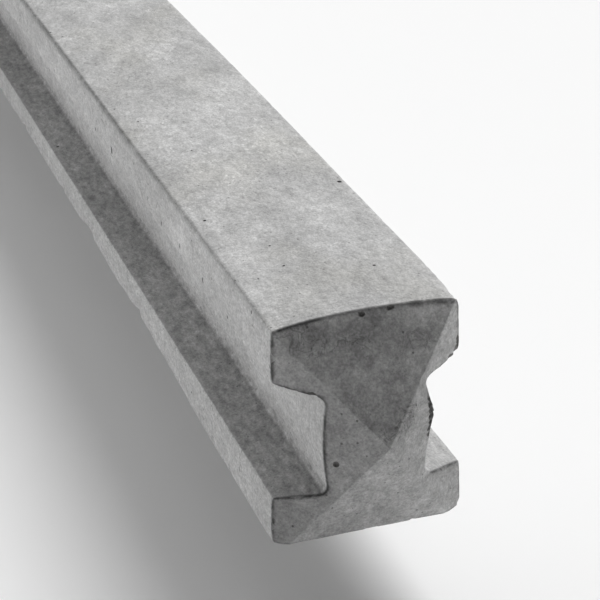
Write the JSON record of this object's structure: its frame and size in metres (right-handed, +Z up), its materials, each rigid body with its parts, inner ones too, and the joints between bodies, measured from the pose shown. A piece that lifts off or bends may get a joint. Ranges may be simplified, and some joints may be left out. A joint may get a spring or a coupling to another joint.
{
  "type": "slotted concrete fence post",
  "caption": "H-section precast concrete fence post with a panel slot down each side, a shallow four-way weathered cap and a steel cage cast inside.",
  "frame": {"origin": "on the ground, under the middle of the post as it lies on its wider broad face", "axes": "+Y along the post from the weathered cap to the foot, +X across the post through both panel slots, +Z up"},
  "size_m": [0.093, 1.8, 0.109],
  "materials": {
    "concrete": "matt cast concrete with blow holes",
    "bar_steel": "dull, lightly rusted",
    "link_wire": "dull drawn wire"
  },
  "bodies": {
    "root": {"concrete_body": "concrete", "main_bar_lower_left": "bar_steel", "main_bar_lower_right": "bar_steel", "main_bar_upper_left": "bar_steel", "main_bar_upper_right": "bar_steel", "wire_link_1": "link_wire", "wire_link_2": "link_wire", "wire_link_3": "link_wire", "wire_link_4": "link_wire", "wire_link_5": "link_wire", "wire_link_6": "link_wire", "wire_link_7": "link_wire", "wire_link_8": "link_wire"}
  },
  "joints": []
}
